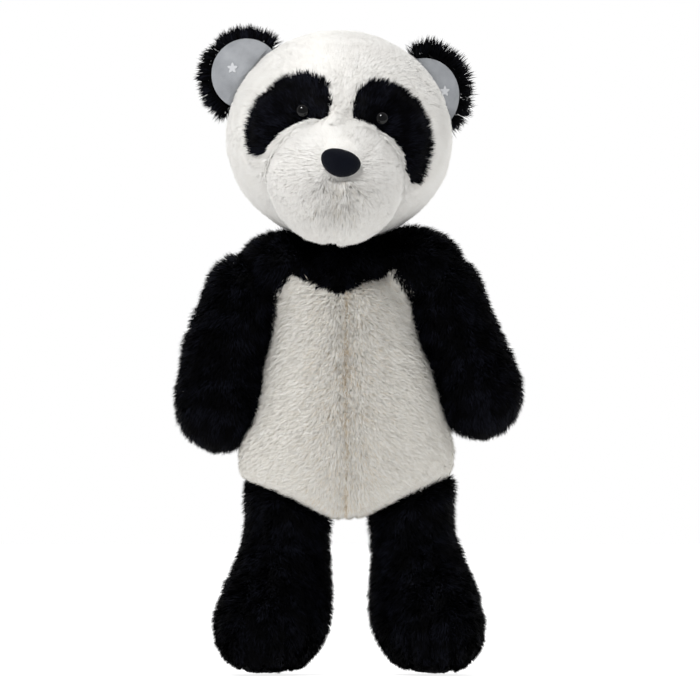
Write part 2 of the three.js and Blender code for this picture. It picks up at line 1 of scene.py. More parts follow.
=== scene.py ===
"""Plush panda: smooth stuffed forms grown from the CAD fillings, sewn fabric panels over them, and a
pile of short fibres rooted on every plush panel. Metres, +Z up, the face towards -Y."""

import json
import math

import bmesh
import bpy
import numpy as np
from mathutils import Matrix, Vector
from mathutils.bvhtree import BVHTree
from mathutils.kdtree import KDTree

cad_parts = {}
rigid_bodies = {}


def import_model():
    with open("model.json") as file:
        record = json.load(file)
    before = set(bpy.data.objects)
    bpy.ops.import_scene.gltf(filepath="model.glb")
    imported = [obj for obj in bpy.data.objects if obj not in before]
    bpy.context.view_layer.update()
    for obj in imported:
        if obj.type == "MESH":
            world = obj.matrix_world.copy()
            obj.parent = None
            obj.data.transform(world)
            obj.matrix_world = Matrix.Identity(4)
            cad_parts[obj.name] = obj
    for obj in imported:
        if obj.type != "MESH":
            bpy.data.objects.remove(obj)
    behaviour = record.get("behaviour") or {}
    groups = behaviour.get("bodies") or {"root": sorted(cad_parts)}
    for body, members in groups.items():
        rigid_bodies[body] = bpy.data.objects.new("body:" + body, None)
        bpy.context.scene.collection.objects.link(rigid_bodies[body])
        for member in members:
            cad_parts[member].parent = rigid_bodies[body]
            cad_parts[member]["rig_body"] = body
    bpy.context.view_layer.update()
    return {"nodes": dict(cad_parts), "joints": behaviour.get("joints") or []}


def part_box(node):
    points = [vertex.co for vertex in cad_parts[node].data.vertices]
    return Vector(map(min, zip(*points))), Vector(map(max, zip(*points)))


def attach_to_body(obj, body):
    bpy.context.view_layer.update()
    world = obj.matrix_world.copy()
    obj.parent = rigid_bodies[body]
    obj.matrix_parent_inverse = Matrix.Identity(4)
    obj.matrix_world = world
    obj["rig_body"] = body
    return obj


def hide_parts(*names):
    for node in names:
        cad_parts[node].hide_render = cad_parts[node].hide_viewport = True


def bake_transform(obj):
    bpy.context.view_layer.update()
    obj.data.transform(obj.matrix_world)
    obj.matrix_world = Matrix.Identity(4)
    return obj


MM = 0.001
SEED = 7
SIDES = {"right": -1, "left": 1}

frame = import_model()
nodes = frame["nodes"]
body_of_node = {n: o["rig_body"] for n, o in nodes.items()}
scene = bpy.context.scene

# ---------- sizes ----------
# stuffed forms
VOXEL = 4 * MM  # the grid that welds the fillings of one form together
SMOOTHING = 16  # passes that take the CAD facets out
HEAD_SMOOTHING = 45  # more of them, so that the muzzle runs smoothly into the head
GROW = 0.2 * MM  # from the head's smooth surface to its seams
BODY_GROW = 1.6 * MM  # the same for the torso and the arms
LEG_GROW = 0.8 * MM
EAR_FORM = {"voxel": 2.5 * MM, "grow": -2.6 * MM}  # set in, because the pile is long for the ear's size
TAIL_FORM = {"voxel": 3 * MM, "grow": -2.5 * MM}
HEAD_GROW = 2.6 * MM  # how much fuller the top of the head's filling is made before it is smoothed
JAW = {"from": 262 * MM, "over": 30 * MM}  # no fuller below this height, and fully so this far above it
MUZZLE_GROW = {"right": 4 * MM, "left": 1.5 * MM, "front": 0.6 * MM, "up": 1.2 * MM, "down": 3.5 * MM}
SWELL = 1.9 * MM  # how far the stuffing may push the fabric out between its seams
PRESSURE = 4  # of the stuffing on the cloth
CLOTH_FRAMES = 20
PUCKER_PASSES = 2
FABRIC = 0.8 * MM  # thickness of the backing cloth
FILL_INSET = 1.6 * MM  # from the cloth's outside to the filling
PAD_SHARE = 0.75  # size of a hidden pad in its CAD solid
PAD_DEPTH = {"neck": 0.75, "limb": 0.9}
REACH = 45 * MM  # how far the nearest panel is looked for
SEAM_DEPTH = 2.2 * MM  # how deep a seam is drawn in
SEAM_WIDTH = 3 * MM  # and over what width
FLOOR_GAP = 0.4 * MM  # nothing soft reaches lower
WELD = 1e-6  # points closer than this become one

# the lower edge of the black yoke, across from its middle and up
YOKE_EDGE_X = np.array([-60, -38, -31, -5, 26, 33, 60]) * MM
YOKE_EDGE_Z = np.array([190, 226, 234, 222, 237, 226, 190]) * MM
YOKE_SHIFT = 0.8 * MM  # from the middle of the torso to the middle of the yoke
SHOULDER_CAPS = [(-34.5 * MM, 234.5 * MM), (36.5 * MM, 237 * MM)]  # across from that middle, and up
CAP_HALF = (27 * MM, 25 * MM, 19.5 * MM)
CAP_BACK = 4 * MM  # how far the caps and the collar are behind the middle of the arms
COLLAR = {"z": 240 * MM, "half": (33 * MM, 26 * MM, 13 * MM)}
BULGE = {"z": 150 * MM, "over": 45 * MM, "by": 5 * MM}  # of the sides of the belly
FOREARM = {"below": 200 * MM, "over": 60 * MM}
HAND_SHIFT = {"right": 2.5 * MM, "left": -0.5 * MM}  # how far the hands hang towards the toy's left
LEG_SHIFT = 1.2 * MM  # and the legs
LEG_TOP = {"from": 75 * MM, "over": 25 * MM, "by": 5 * MM}  # the thigh reaches up into its seam
FOOT_ROUND = {"over": 26 * MM, "by": 0.2}  # the foot is narrower by this share at the sole
TOE_SEAMS = (-11 * MM, 0, 11 * MM)  # across from the middle of the foot
TOE_SEAM_WIDTH = 1.6 * MM
TOE_SEAM_TOP = 34 * MM
TOES_FROM = 14 * MM  # how far the toe seams start in front of the torso's middle
HIP_SEAM_RADIUS = 22 * MM  # the torso has no pile within it
LEG_TOP_HIDDEN = 95 * MM  # above this the leg's end is inside its seam

# pile
PARTING = (0, 20 * MM, 20 * MM)  # from the muzzle's middle to where the face's pile parts
CLUMP = 3.2 * MM  # how wide a tuft is
SWIRL = 11 * MM  # and over what length the pile's direction drifts
EYE_CLEARING = (2.2 * MM, 5.5 * MM)  # the pile is short within the first radius, whole from the second
NOSE_CLEARING = (9 * MM, 14 * MM)
NOSE_CLEARING_LIFT = (0, 0, 4 * MM)
CHIN_MIDDLE = (0, -20 * MM)  # of the long pile, across and up from the nose
CHIN_RADIUS = 19 * MM
# painted shade along the chin's seam: where it lies across from the nose, and how wide it is
CHIN_CREASE_SHADE = {"across": -2 * MM, "width": 1.4 * MM}  # its seam, across from the nose
BELLY_MIDDLE_HALF = 30 * MM  # half width of the middle of the belly, where the pile changes
TAN_HALF = 28 * MM  # half width of the tan part
# half width of the painted shade along the belly's middle seam
SEAM_SHADE_HALF = 0.7 * MM
FLECK = 1.6 * MM
FACE_LENGTH = {"cheek": 5.5 * MM, "forehead": 5.2 * MM, "muzzle": 4.6 * MM, "patch": 6.5 * MM}
CHIN_EXTRA = 3.4 * MM  # how much longer it is in the middle of the chin
BLACK_LENGTH = 7.5 * MM
YOKE_LENGTH = 7 * MM
TAIL_LENGTH = 7 * MM
SOLE_LENGTH = 2.5 * MM
THINNER = 1.0

# ears, where places are across and up from the middle of the ear, seen from the front
LINING_AT = {"right": (0.8 * MM, 1.8 * MM), "left": (-1.5 * MM, -2.0 * MM)}
LINING_SHARE = {"right": 0.79, "left": 0.84}  # of the ear's radius
LINING_LIFT = 1.4 * MM
HEM = 1.5 * MM  # the pile reaches this far under the lining's edge
LINING_THICKNESS = 0.8 * MM
STAR_AT = {"right": (-6.9 * MM, 5.3 * MM), "left": (10 * MM, 1.2 * MM)}
STAR_SIZE = 3.3 * MM
STAR_LIFT = 1.75 * MM
STAR_THICKNESS = 0.3 * MM
EAR_PILE = {"right": 9 * MM, "left": 10.5 * MM}

# eyes
DOME_ANGLE = math.radians(42)  # of the eye's front, from its middle to its rim
EYE_BACK = 1.15  # depth of the button behind its front, in radii
SHANK_RADIUS = 1.3 * MM


# ---------- materials ----------
def material(name, colour, roughness=0.8, **sockets):
    """A Principled material with constants on its own sockets."""
    made = bpy.data.materials.new(name)
    made.use_nodes = True
    shader = made.node_tree.nodes["Principled BSDF"]
    shader.inputs["Base Color"].default_value = (*colour, 1)
    shader.inputs["Roughness"].default_value = roughness
    for key, value in sockets.items():
        shader.inputs[key.replace("_", " ")].default_value = value
    made.diffuse_color = (*colour, 1)
    return made


def grained(name, colour, other, size, roughness=0.8, bump=0.3, weave=0.0, **sockets):
    """A Principled material whose colour drifts between two values, with a fine bump of knit or weave."""
    made = material(name, colour, roughness, **sockets)
    tree = made.node_tree
    shader = tree.nodes["Principled BSDF"]
    place = tree.nodes.new("ShaderNodeTexCoord")
    drift = tree.nodes.new("ShaderNodeTexNoise")
    drift.inputs["Scale"].default_value = 1 / size
    drift.inputs["Detail"].default_value = 4
    mix = tree.nodes.new("ShaderNodeMix")
    mix.data_type = "RGBA"
    mix.inputs["A"].default_value = (*colour, 1)
    mix.inputs["B"].default_value = (*other, 1)
    height = tree.nodes.new("ShaderNodeBump")
    height.inputs["Strength"].default_value = bump
    height.inputs["Distance"].default_value = 0.3 * MM
    link = tree.links.new
    link(place.outputs["Object"], drift.inputs["Vector"])
    link(drift.outputs["Fac"], mix.inputs["Factor"])
    link(mix.outputs["Result"], shader.inputs["Base Color"])
    if weave:
        # about one thread in each length of the weave
        threads = tree.nodes.new("ShaderNodeTexWave")
        threads.bands_direction = "DIAGONAL"
        threads.inputs["Scale"].default_value = 0.32 / weave
        threads.inputs["Distortion"].default_value = 1.2
        threads.inputs["Detail Scale"].default_value = 3
        link(place.outputs["Object"], threads.inputs["Vector"])
        link(threads.outputs["Fac"], height.inputs["Height"])
    else:
        fine = tree.nodes.new("ShaderNodeTexNoise")
        fine.inputs["Scale"].default_value = 8 / size
        link(place.outputs["Object"], fine.inputs["Vector"])
        link(fine.outputs["Fac"], height.inputs["Height"])
    link(height.outputs["Normal"], shader.inputs["Normal"])
    return made


def tones(name, colours, roughness, **sockets):
    """One material for each colour that the fibres of a pile are mixed from."""
    return [material(f"{name}_{i + 1}", c, roughness, **sockets) for i, c in enumerate(colours)]


BLACK_FINISH = {"Sheen_Weight": 0.012, "Sheen_Roughness": 0.4, "Specular_IOR_Level": 0.03}
PALE_FINISH = {"Sheen_Weight": 0.15, "Specular_IOR_Level": 0.2}
# the first three tones are the black of the fibres; the last, bluish one is a painted highlight on the
# pile, scattered in soft patches
BLACK_TONES = [
    (0.0006, 0.0006, 0.0009),
    (0.001, 0.001, 0.0018),
    (0.0022, 0.0024, 0.0042),
    (0.006, 0.0066, 0.011),
]
WHITE_TONES = [(0.87, 0.855, 0.82), (0.89, 0.875, 0.84), (0.91, 0.9, 0.87)]
CHIN_TONES = [*WHITE_TONES[1:], (0.85, 0.83, 0.79), (0.77, 0.735, 0.67)]
BELLY_TONES = [
    (0.8, 0.77, 0.7),
    (0.85, 0.825, 0.77),
    (0.89, 0.875, 0.83),
    (0.79, 0.71, 0.59),
    (0.63, 0.52, 0.38),
]
PILE = {
    "black": tones("black_fibre", BLACK_TONES, 0.55, **BLACK_FINISH),
    "white": tones("white_fibre", WHITE_TONES, 0.75, **PALE_FINISH),
    "chin": tones("chin_fibre", CHIN_TONES, 0.75, **PALE_FINISH),
    "belly": tones("belly_fibre", BELLY_TONES, 0.75, **PALE_FINISH),
}
CLOTH = {
    "black": grained(
        "black_backing", (0.0008, 0.0008, 0.001), (0.0016, 0.0016, 0.002), 6 * MM, Specular_IOR_Level=0.02
    ),
    "white": grained("white_backing", (0.82, 0.8, 0.76), (0.87, 0.85, 0.82), 6 * MM),
    "belly": grained("belly_backing", (0.72, 0.67, 0.58), (0.8, 0.76, 0.68), 6 * MM),
}
FILL = grained("fibre_fill", (0.86, 0.86, 0.84), (0.93, 0.93, 0.92), 9 * MM, 0.95, 1.0)
# its wide drift between dark and light grey is painted shade and light of soft folds in the satin
SATIN = grained(
    "ear_satin", (0.16, 0.168, 0.18), (0.4, 0.415, 0.44), 10 * MM, 0.45, 0.25, weave=0.5 * MM,
    Sheen_Weight=0.15, Specular_IOR_Level=0.4,
)
STAR = material("star_thread", (0.55, 0.56, 0.58), 0.6)
NOSE = grained(
    "nose_fabric", (0.0016, 0.0022, 0.005), (0.003, 0.0042, 0.009), 5 * MM, 0.6, 0.6, weave=0.45 * MM,
    Sheen_Weight=0.01, Specular_IOR_Level=0.06,
)
EYE = material("eye_plastic", (0.0005, 0.0005, 0.0008), 0.015, Specular_IOR_Level=0.3)
WASHER = grained("washer_plastic", (0.7, 0.7, 0.68), (0.76, 0.76, 0.74), 5 * MM, 0.35, 0.1)
THREAD = grained(
    "seam_thread", (0.008, 0.008, 0.009), (0.02, 0.02, 0.022), 3 * MM, 0.7, 1.0, weave=0.6 * MM
)
LABEL = grained("label_ribbon", (0.85, 0.85, 0.83), (0.9, 0.9, 0.88), 5 * MM, 0.5, 0.5, weave=0.5 * MM)


# ---------- meshes ----------
def add(name, mesh):
    obj = bpy.data.objects.new(name, mesh)
    scene.collection.objects.link(obj)
    return obj


def coordinates(mesh):
    found = np.empty(len(mesh.vertices) * 3)
    mesh.vertices.foreach_get("co", found)
    return found.reshape(-1, 3)


def set_coordinates(mesh, points):
    mesh.vertices.foreach_set("co", points.ravel())
    mesh.update()


def normals_of(mesh):
    found = np.empty(len(mesh.vertices) * 3)
    mesh.vertex_normals.foreach_get("vector", found)
    return found.reshape(-1, 3)


def triangles_of(mesh):
    mesh.calc_loop_triangles()
    found = np.empty(len(mesh.loop_triangles) * 3, int)
    mesh.loop_triangles.foreach_get("vertices", found)
    return found.reshape(-1, 3)


def edges_of(mesh):
    found = np.empty(len(mesh.edges) * 2, int)
    mesh.edges.foreach_get("vertices", found)
    return found.reshape(-1, 2)


def unit(v):
    return v / np.maximum(np.linalg.norm(v, axis=-1, keepdims=True), 1e-12)


def node_points(*names):
    return np.vstack([coordinates(nodes[n].data) for n in names])


def middle_of(*names):
    points = node_points(*names)
    return (points.min(0) + points.max(0)) / 2


def axes_of(node):
    """Middle, unit axes and half sizes of an egg-shaped node, the axes from wide to shallow."""
    points = node_points(node)
    middle = (points.min(0) + points.max(0)) / 2
    axes = np.linalg.svd(points - points.mean(0), full_matrices=False)[2]
    half = np.abs((points - middle) @ axes.T).max(0)
    return middle, axes, half


def mesh_from(name, points, faces):
    mesh = bpy.data.meshes.new(name)
    mesh.from_pydata([tuple(p) for p in points], [], [tuple(f) for f in faces])
    mesh.update()
    return mesh


def mesh_of(bm, name):
    """The mesh of a bmesh, which is used up."""
    mesh = bpy.data.meshes.new(name)
    bm.to_mesh(mesh)
    bm.free()
    return mesh


def smooth_piece(bm, name, finish):
    """A smoothly shaded object of one material, from a bmesh."""
    bmesh.ops.recalc_face_normals(bm, faces=bm.faces)
    mesh = mesh_of(bm, name)
    for face in mesh.polygons:
        face.use_smooth = True
    mesh.materials.append(finish)
    return add(name, mesh)


def hull(points):
    """A closed convex mesh round these points."""
    bm = bmesh.new()
    for p in points:
        bm.verts.new(p)
    made = bmesh.ops.convex_hull(bm, input=bm.verts)
    unused = [v for v in made["geom_interior"] if isinstance(v, bmesh.types.BMVert)]
    bmesh.ops.delete(bm, geom=unused, context="VERTS")
    return mesh_of(bm, "hull")


def egg(centre, half, segments=24):
    """A closed ellipsoid mesh."""
    bm = bmesh.new()
    bmesh.ops.create_uvsphere(bm, u_segments=segments, v_segments=segments // 2, radius=1)
    for v in bm.verts:
        v.co = Vector([c + h * x for c, h, x in zip(centre, half, v.co)])
    return mesh_of(bm, "egg")


def grown(mesh, by):
    """A copy of a mesh moved outwards along its normals, by a length found from points and normals."""
    made = mesh.copy()
    bm = bmesh.new()
    bm.from_mesh(made)
    bmesh.ops.remove_doubles(bm, verts=bm.verts, dist=WELD)
    bm.to_mesh(made)
    bm.free()
    points, normals = coordinates(made), normals_of(made)
    set_coordinates(made, points + normals * by(points, normals))
    return made


def head_grow(points, normals):
    """The head is fuller above the jaw."""
    return HEAD_GROW * np.clip((points[:, 2:] - JAW["from"]) / JAW["over"], 0, 1)


def muzzle_grow(points, normals):
    """The muzzle is fuller on the toy's right, where the head is turned away."""
    sideways = np.where(normals[:, 0] < 0, MUZZLE_GROW["right"], MUZZLE_GROW["left"])
    front = np.full(len(points), MUZZLE_GROW["front"])
    up = np.where(normals[:, 2] < 0, MUZZLE_GROW["down"], MUZZLE_GROW["up"])
    return np.stack([sideways, front, up], axis=1)


def torso_grow(points, normals):
    """The belly is widest at the height of the hands."""
    away = (points[:, 2:] - BULGE["z"]) / BULGE["over"]
    return BODY_GROW + BULGE["by"] * np.exp(-(away**2)) * np.abs(normals[:, :1])


def lifted(mesh):
    """A copy of a leg's filling, its top drawn up into the hip seam and its foot rounded underneath."""
    made = mesh.copy()
    points = coordinates(made)
    share = np.clip((points[:, 2] - LEG_TOP["from"]) / LEG_TOP["over"], 0, 1)
    points[:, 2] += LEG_TOP["by"] * share
    low = np.clip(1 - points[:, 2] / FOOT_ROUND["over"], 0, 1)
    middle = (points[:, 0].min() + points[:, 0].max()) / 2
    points[:, 0] = middle + LEG_SHIFT + (points[:, 0] - middle) * (1 - FOOT_ROUND["by"] * low**2)
    set_coordinates(made, points)
    return made


def bent(mesh, by):
    """A copy of an arm's filling whose lower half is moved sideways."""
    made = mesh.copy()
    points = coordinates(made)
    points[:, 0] += by * np.clip((FOREARM["below"] - points[:, 2]) / FOREARM["over"], 0, 1)
    set_coordinates(made, points)
    return made


def evaluated(obj):
    graph = bpy.context.evaluated_depsgraph_get()
    return bpy.data.meshes.new_from_object(obj.evaluated_get(graph), depsgraph=graph)


def with_modifier(obj, kind, **settings):
    """The object with this modifier applied."""
    modifier = obj.modifiers.new("work", kind)
    for key, value in settings.items():
        setattr(modifier, key, value)
    made = evaluated(obj)
    obj.modifiers.clear()
    obj.data = made
    return obj


def relaxed(points, edges, passes):
    """Smooths in turns of a shrinking and a slightly stronger growing step, which keeps the volume."""
    count = np.bincount(edges.ravel(), minlength=len(points))[:, None]
    for _ in range(passes):
        for factor in (0.5, -0.53):
            total = np.zeros_like(points)
            np.add.at(total, edges[:, 0], points[edges[:, 1]])
            np.add.at(total, edges[:, 1], points[edges[:, 0]])
            points = points + factor * (total / count - points)
    return points


# ---------- stuffed forms ----------
class Form:
    """One stuffed volume: its smooth surface, and which CAD panel is the nearest at each place."""

    def __init__(self, name, solids, panels, loose=(), voxel=VOXEL, grow=GROW, smoothing=SMOOTHING):
        self.name = name
        self.panels = panels
        self.loose = set(map(frozenset, loose))
        bm = bmesh.new()
        for solid in solids:
            bm.from_mesh(solid)
        self.obj = add(name, mesh_of(bm, name))
        with_modifier(self.obj, "REMESH", mode="VOXEL", voxel_size=voxel)
        self.find_panels()
        mesh = self.obj.data
        set_coordinates(mesh, relaxed(coordinates(mesh), edges_of(mesh), smoothing))
        points, normals = coordinates(mesh), normals_of(mesh)
        by = grow(points, normals) if callable(grow) else grow
        set_coordinates(mesh, points + normals * by)
        self.pin_seams()

    def find_panels(self):
        """Puts the faces of all its CAD panels in one search tree."""
        points, faces, self.face_panel = [], [], []
        for i, panel in enumerate(self.panels):
            start = sum(map(len, points))
            mesh = nodes[panel].data
            points.append(coordinates(mesh))
            found = triangles_of(mesh)
            faces += [tuple(f) for f in (found + start).tolist()]
            self.face_panel += [i] * len(found)
        self.tree = BVHTree.FromPolygons(np.vstack(points).tolist(), faces)

    def nearest(self, points):
        """For each point, the index of its panel, or -1 where no panel is within reach."""
        found = np.full(len(points), -1)
        for i, p in enumerate(points.tolist()):
            _, _, face, _ = self.tree.find_nearest(p, REACH)
            if face is not None:
                found[i] = self.face_panel[face]
        if self.name == "torso":
            self.widen_yoke(points, found)
        return found

    def widen_yoke(self, points, found):
        """Gives the shoulders to the black yokes, down to the arms."""
        outside = points[:, 2] > np.interp(points[:, 0] - yoke_middle, YOKE_EDGE_X, YOKE_EDGE_Z)
        for yoke, panel in (("chest_yoke", "belly_panel"), ("back_yoke", "back_panel")):
            for side in SIDES:
                taken = outside & (found == self.panels.index(f"{panel}_{side}"))
                found[taken] = self.panels.index(yoke)

    def pin_seams(self):
        """Holds the cloth where two panels meet, unless their seam is a flat one."""
        mesh = self.obj.data
        owner = self.nearest(coordinates(mesh))
        self.pinned = set()
        for a, b in edges_of(mesh).tolist():
            if owner[a] == owner[b] or min(owner[a], owner[b]) < 0:
                continue
            pair = frozenset((self.panels[owner[a]], self.panels[owner[b]]))
            if pair not in self.loose:
                self.pinned |= {a, b}
        self.rest = coordinates(mesh)
        group = self.obj.vertex_groups.new(name="seams")
        group.add(sorted(self.pinned), 1.0, "REPLACE")

    def start_cloth(self):
        cloth = self.obj.modifiers.new("swell", "CLOTH")
        cloth.settings.use_pressure = True
        cloth.settings.uniform_pressure_force = PRESSURE
        cloth.settings.effector_weights.gravity = 0
        cloth.settings.vertex_group_mass = "seams"

    def end_cloth(self, cap):
        """Keeps what the cloth did, up to a cap, smooths the puckers a little and subdivides."""
        moved = coordinates(evaluated(self.obj)) - self.rest
        self.obj.modifiers.clear()
        length = np.linalg.norm(moved, axis=1, keepdims=True)
        moved *= np.minimum(1, cap / np.maximum(length, 1e-9))
        mesh = self.obj.data
        set_coordinates(mesh, relaxed(self.rest + moved, edges_of(mesh), PUCKER_PASSES))
        self.finish()

    def finish(self):
        """Subdivides the surface, draws the seams in and finds the panel of each face."""
        seams = KDTree(len(self.pinned))
        for i, v in enumerate(sorted(self.pinned)):
            seams.insert(self.obj.data.vertices[v].co, i)
        seams.balance()
        with_modifier(self.obj, "SUBSURF", levels=1)
        self.mesh = self.obj.data
        points = coordinates(self.mesh)
        if self.pinned:
            away = np.array([seams.find(p)[2] for p in points.tolist()])
            drawn = SEAM_DEPTH * np.exp(-((away / SEAM_WIDTH) ** 2))
            points -= normals_of(self.mesh) * drawn[:, None]
        points[:, 2] = np.maximum(points[:, 2], FLOOR_GAP)
        set_coordinates(self.mesh, points)
        self.face_owner = self.nearest(np.array([p.center for p in self.mesh.polygons]))

    def cover(self, name, node, cloth):
        """The backing cloth of one panel, as a thin closed shell."""
        wanted = self.panels.index(node)
        mesh = self.mesh.copy()
        bm = bmesh.new()
        bm.from_mesh(mesh)
        bm.faces.ensure_lookup_table()
        others = [bm.faces[i] for i in np.flatnonzero(self.face_owner != wanted)]
        bmesh.ops.delete(bm, geom=others, context="FACES")
        bm.to_mesh(mesh)
        bm.free()
        obj = add(name, mesh)
        mesh.materials.clear()
        mesh.materials.append(cloth)
        with_modifier(obj, "SOLIDIFY", thickness=FABRIC, offset=-1, use_even_offset=False)
        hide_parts(node)
        return obj

    def filling(self, name, *stood_for):
        """The stuffing, a little inside the cloth."""
        mesh = self.mesh.copy()
        points = coordinates(mesh) - normals_of(mesh) * FILL_INSET
        points[:, 2] = np.maximum(points[:, 2], FLOOR_GAP + 2 * FABRIC)
        set_coordinates(mesh, points)
        mesh.materials.clear()
        mesh.materials.append(FILL)
        obj = add(name, mesh)
        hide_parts(*stood_for)
        return obj


def both(pattern):
    """The same name for the right and for the left."""
    return [pattern.format(side) for side in SIDES]


head_panels = ["forehead_panel", *both("cheek_panel_{}"), *both("eye_patch_{}"), *both("head_back_{}")]
muzzle_panels = ["muzzle_top_panel", *both("muzzle_side_{}")]
torso_panels = ["chest_yoke", "back_yoke", *both("belly_panel_{}"), *both("back_panel_{}")]
flat_seams = [("forehead_panel", f"cheek_panel_{s}") for s in SIDES]
flat_seams += [("forehead_panel", f"head_back_{s}") for s in SIDES]
flat_seams += [("muzzle_top_panel", f"muzzle_side_{s}") for s in SIDES]
flat_seams += [(f"cheek_panel_{s}", f"head_back_{s}") for s in SIDES]
flat_seams += [tuple(both("head_back_{}"))]
flat_seams += [("forehead_panel", panel) for panel in muzzle_panels]
for part in (*both("cheek_panel_{}"), *both("eye_patch_{}")):
    flat_seams += [(part, panel) for panel in muzzle_panels]

yoke_middle = middle_of("torso_stuffing")[0] + YOKE_SHIFT
arm_y = (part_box("arm_stuffing_right")[0].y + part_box("arm_stuffing_right")[1].y) / 2
shoulder_caps = [egg((yoke_middle + x, arm_y + CAP_BACK, z), CAP_HALF) for x, z in SHOULDER_CAPS]
shoulder_caps.append(egg((yoke_middle, arm_y + CAP_BACK, COLLAR["z"]), COLLAR["half"]))
FORMS = {
    "head": Form(
        "head",
        [
            grown(hull(node_points("head_stuffing")), head_grow),
            grown(hull(node_points("muzzle_stuffing")), muzzle_grow),
        ],
        head_panels + muzzle_panels,
        flat_seams,
        smoothing=HEAD_SMOOTHING,
    ),
    "torso": Form(
        "torso",
        [nodes[n].data for n in ("torso_stuffing", "neck_stuffing", *both("shoulder_stuffing_{}"))]
        + shoulder_caps,
        torso_panels,
        flat_seams,
        grow=torso_grow,
    ),
    "tail": Form("tail_form", [hull(node_points("tail"))], ["tail"], **TAIL_FORM),
}
for side in SIDES:
    arm = [f"arm_front_{side}", f"arm_back_{side}"]
    leg = [f"leg_outer_{side}", f"leg_inner_{side}", f"sole_{side}"]
    ear = [f"ear_back_{side}", f"ear_lining_{side}"]
    arm_fill = bent(nodes[f"arm_stuffing_{side}"].data, HAND_SHIFT[side])
    leg_fill = lifted(nodes[f"leg_stuffing_{side}"].data)
    FORMS[f"arm_{side}"] = Form(f"arm_{side}", [arm_fill], arm, [arm], grow=BODY_GROW)
    FORMS[f"leg_{side}"] = Form(f"leg_{side}", [leg_fill], leg, grow=LEG_GROW)
    FORMS[f"ear_{side}"] = Form(f"ear_{side}", [hull(node_points(*ear))], ear, [ear], **EAR_FORM)

for form in FORMS.values():
    form.start_cloth()
for number in range(1, CLOTH_FRAMES + 1):
    scene.frame_set(number)
for form in FORMS.values():
    form.end_cloth(SWELL)


# ---------- pile ----------
random = np.random.default_rng(SEED)
NOISE_TABLE = random.uniform(-1, 1, (4096, 3))
SCATTER = (73856093, 19349663, 83492791)  # primes that spread the cells over the table


def noise(points, cell):
    """Smooth random vectors from -1 to 1 that change over about one cell."""
    scaled = points / cell
    corner = np.floor(scaled).astype(np.int64)
    t = scaled - corner
    t = t * t * (3 - 2 * t)
    total = np.zeros_like(points)
    for i in (0, 1):
        for j in (0, 1):
            for k in (0, 1):
                x, y, z = ((corner + (i, j, k)) * SCATTER).T
                key = (x ^ y ^ z) % len(NOISE_TABLE)
                weight = np.prod(np.where((i, j, k), t, 1 - t), axis=1)
                total += NOISE_TABLE[key] * weight[:, None]
    return total


def sampled(mesh, per_mm2):
    """Random places on a mesh, as points and normals."""
    points, normals, faces = coordinates(mesh), normals_of(mesh), triangles_of(mesh)
    a, b, c = (points[faces[:, i]] for i in range(3))
    area = np.linalg.norm(np.cross(b - a, c - a), axis=1) / 2
    number = int(area.sum() / MM**2 * per_mm2)
    chosen = random.choice(len(faces), number, p=area / area.sum())
    u, v = random.random((2, number))
    fold = u + v > 1
    u[fold], v[fold] = 1 - u[fold], 1 - v[fold]
    weights = np.stack([1 - u - v, u, v], axis=1)
    corners = faces[chosen]
    place = (points[corners] * weights[:, :, None]).sum(1)
    normal = unit((normals[corners] * weights[:, :, None]).sum(1))
    return place, normal


def flattened(vectors, normals):
    """Unit vectors along the surface."""
    return unit(vectors - (vectors * normals).sum(1, keepdims=True) * normals)


def fibres(name, roots, normals, flow, kind, length, width, lean, tuft, rough, shade):
    """A piece of pile: each fibre is a narrow kite from its root, widest halfway, bent along its flow."""
    count = len(roots)
    drift = tuft * noise(roots, CLUMP) + 0.5 * tuft * noise(roots, SWIRL)
    drift += random.normal(0, 1.5 * rough, (count, 3))
    along = flattened(flattened(unit(flow), normals) + drift, normals)
    angle = np.radians(lean) + (0.4 * tuft * noise(roots + 0.5, 4 * MM))[:, 0]
    angle = angle + random.normal(0, rough, count)
    angle = np.clip(angle, 0.1, 1.5)[:, None]
    size = (length * random.uniform(0.75, 1.15, count) * (1 + 0.12 * noise(roots, 6 * MM)[:, 1]))[:, None]
    low, high = angle * 0.7, np.minimum(angle * 1.3, 1.75)
    root = roots - normals * 0.5 * MM
    middle = root + size * 0.5 * (normals * np.cos(low) + along * np.sin(low))
    tip = middle + size * 0.5 * (normals * np.cos(high) + along * np.sin(high))
    side = np.cross(normals, along)
    axis = unit(tip - root)
    roll = random.uniform(-0.75, 0.75, (count, 1))
    side = side * np.cos(roll) + np.cross(axis, side) * np.sin(roll)
    half = (width * random.uniform(0.7, 1.2, count) / 2)[:, None] * side
    points = np.stack([root, middle - half, middle + half, tip], axis=1).reshape(-1, 3)
    points[:, 2] = np.maximum(points[:, 2], FLOOR_GAP)
    lit = unit(normals + 0.2 * along + random.normal(0, 0.4 * rough, (count, 3)))
    shades = PILE[kind]
    tone = np.clip((shade + random.uniform(-0.35, 0.35, count)) * len(shades), 0, len(shades) - 1)
    mesh = bpy.data.meshes.new(name)
    mesh.vertices.add(4 * count)
    mesh.vertices.foreach_set("co", points.ravel())
    mesh.loops.add(6 * count)
    corners = np.arange(count)[:, None] * 4 + np.array([0, 1, 2, 1, 3, 2])
    mesh.loops.foreach_set("vertex_index", corners.ravel().astype(np.int32))
    mesh.polygons.add(2 * count)
    mesh.polygons.foreach_set("loop_start", np.arange(0, 6 * count, 3, dtype=np.int32))
    mesh.polygons.foreach_set("material_index", np.repeat(tone.astype(np.int32), 2))
    mesh.update(calc_edges=True)
    mesh.normals_split_custom_set_from_vertices(np.repeat(lit, 4, axis=0))
    for shade_material in shades:
        mesh.materials.append(shade_material)
    return add(name, mesh)


